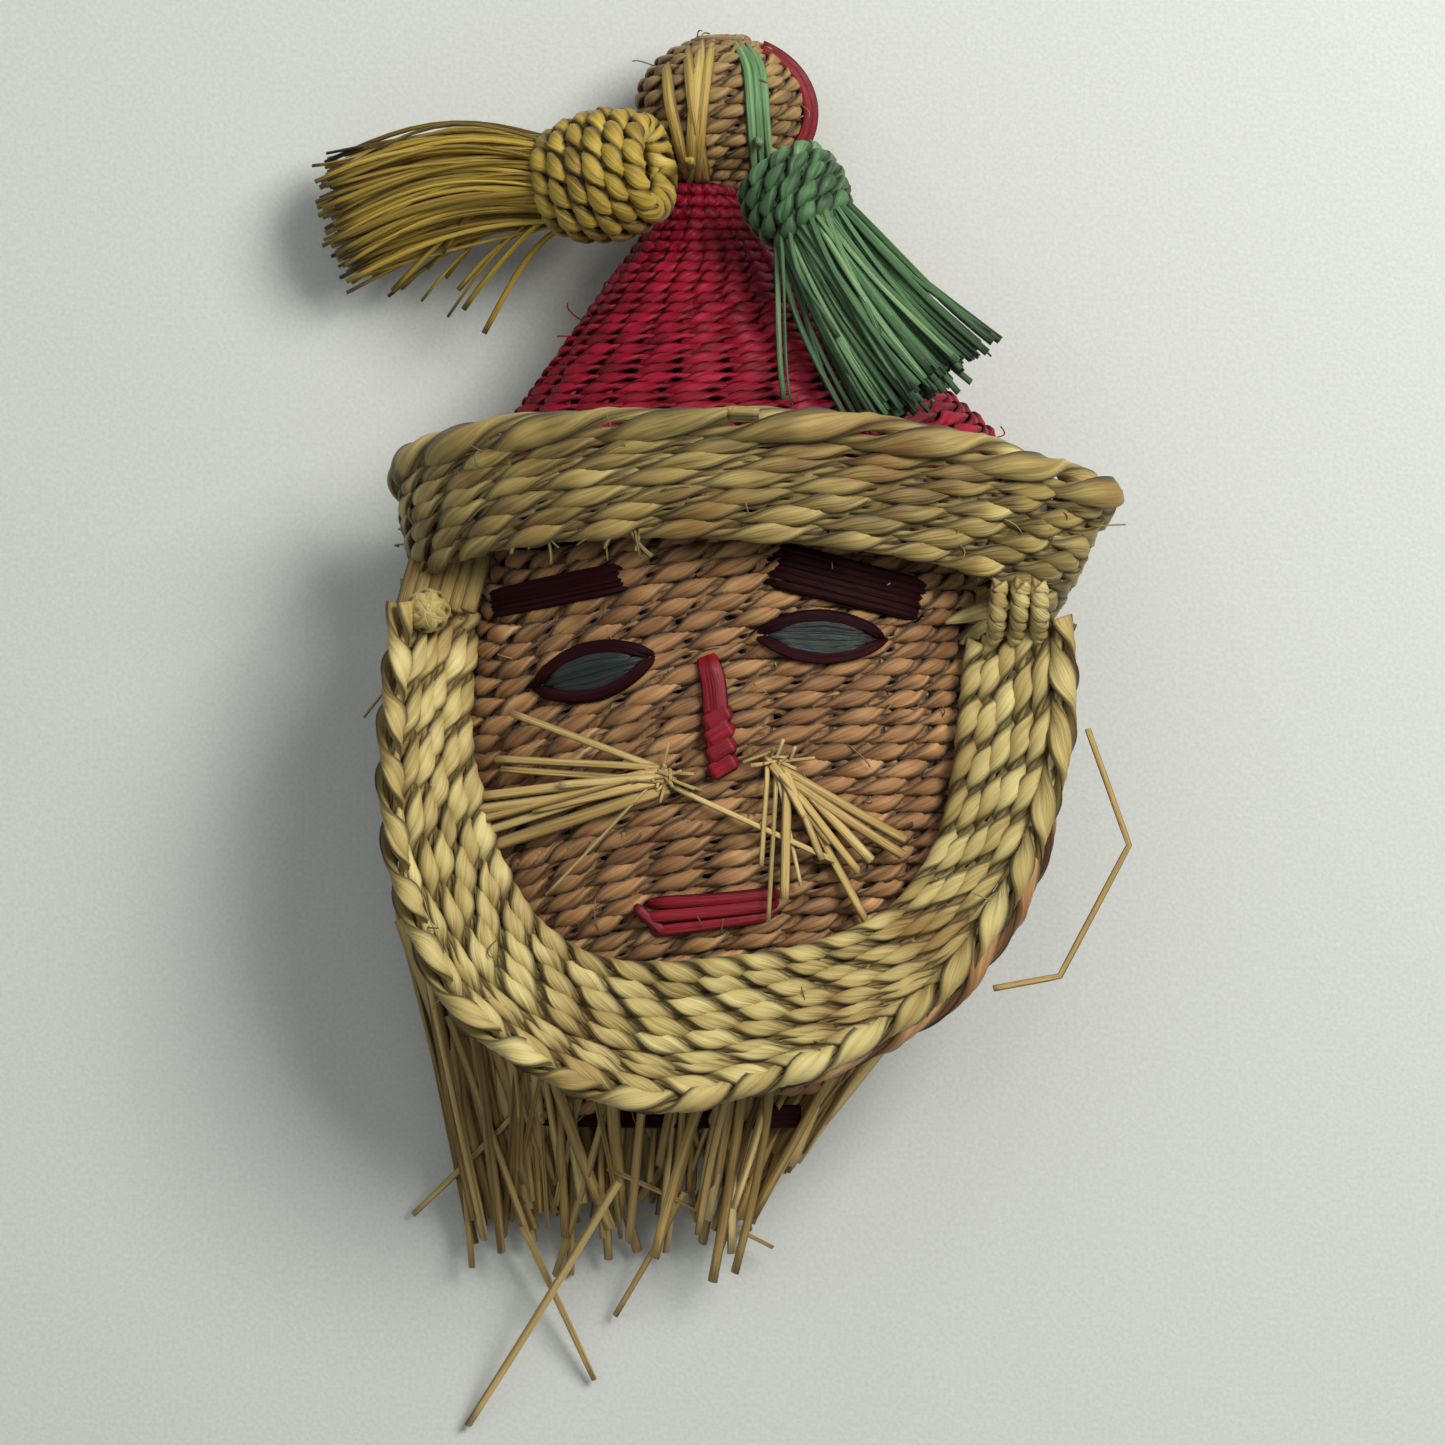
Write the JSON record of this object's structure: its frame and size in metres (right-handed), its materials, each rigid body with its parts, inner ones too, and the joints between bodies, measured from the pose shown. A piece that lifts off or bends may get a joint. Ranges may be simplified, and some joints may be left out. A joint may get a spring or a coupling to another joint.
{
  "type": "woven gnome head ornament",
  "caption": "Gnome's head twined from straw and bast, with a pointed hat, turned-up brim, woven beard and two tassels, lying on its back.",
  "frame": {"origin": "on the flat of the back, under the bridge of the nose", "axes": "+Y from chin to hat tip, +Z out of the face, +X to the viewer's right"},
  "size_m": [0.1256, 0.2191, 0.0544],
  "materials": {
    "straw": "matte",
    "beard_straw": "matte",
    "bast_brown": "matte",
    "bast_crimson": "matte",
    "bast_natural": "matte",
    "bast_yellow": "matte",
    "bast_green": "matte",
    "bast_maroon": "matte",
    "bast_teal": "matte",
    "filling": "matte",
    "stake": "matte"
  },
  "bodies": {
    "figure": {"head_weave": "bast_brown", "head_stakes": "stake", "head_filling": "filling", "left_brow": "bast_maroon", "right_brow": "bast_maroon", "left_eye_outline": "bast_maroon", "right_eye_outline": "bast_maroon", "left_iris": "bast_teal", "right_iris": "bast_teal", "nose_stitch": "bast_crimson", "mouth_stitches": "bast_crimson", "left_moustache": "beard_straw", "right_moustache": "beard_straw", "neck_binding": "bast_maroon", "hat_weave": "bast_crimson", "hat_stakes": "stake", "brim_band": "straw", "brim_top_cord": "straw", "pompom_weave": "bast_natural", "pompom_core": "filling", "yellow_strap": "bast_yellow", "green_strap": "bast_green", "crimson_strap": "bast_crimson", "beard_collar": "straw", "collar_rim_cord": "straw", "temple_knot": "straw", "temple_ties": "straw", "beard_straw_left": "beard_straw", "beard_straw_middle": "beard_straw", "beard_straw_right": "beard_straw", "long_straws": "beard_straw", "cheek_straw": "beard_straw", "stray_fibre": "beard_straw"},
    "yellow_neck_body": {"yellow_neck": "bast_yellow"},
    "yellow_tassel": {"yellow_knob": "bast_yellow", "yellow_fringe": "bast_yellow"},
    "green_neck_body": {"green_neck": "bast_green"},
    "green_tassel": {"green_knob": "bast_green", "green_fringe": "bast_green"}
  },
  "joints": [
    {"name": "yellow_swing", "type": "hinge", "parent": "figure", "child": "yellow_neck_body", "pos_m": [-0.005, 0.087, 0.0295], "axis": [0, 0, 1], "range_deg": [-8, 10]},
    {"name": "yellow_lift", "type": "hinge", "parent": "yellow_neck_body", "child": "yellow_tassel", "pos_m": [-0.005, 0.087, 0.0295], "axis": [-0.1384, 0.9904, 0], "range_deg": [0, 50]},
    {"name": "green_swing", "type": "hinge", "parent": "figure", "child": "green_neck_body", "pos_m": [0.0052, 0.09, 0.0295], "axis": [0, 0, 1], "range_deg": [-3, 70]},
    {"name": "green_lift", "type": "hinge", "parent": "green_neck_body", "child": "green_tassel", "pos_m": [0.0052, 0.09, 0.0295], "axis": [-0.822, -0.5694, 0], "range_deg": [0, 50]}
  ]
}
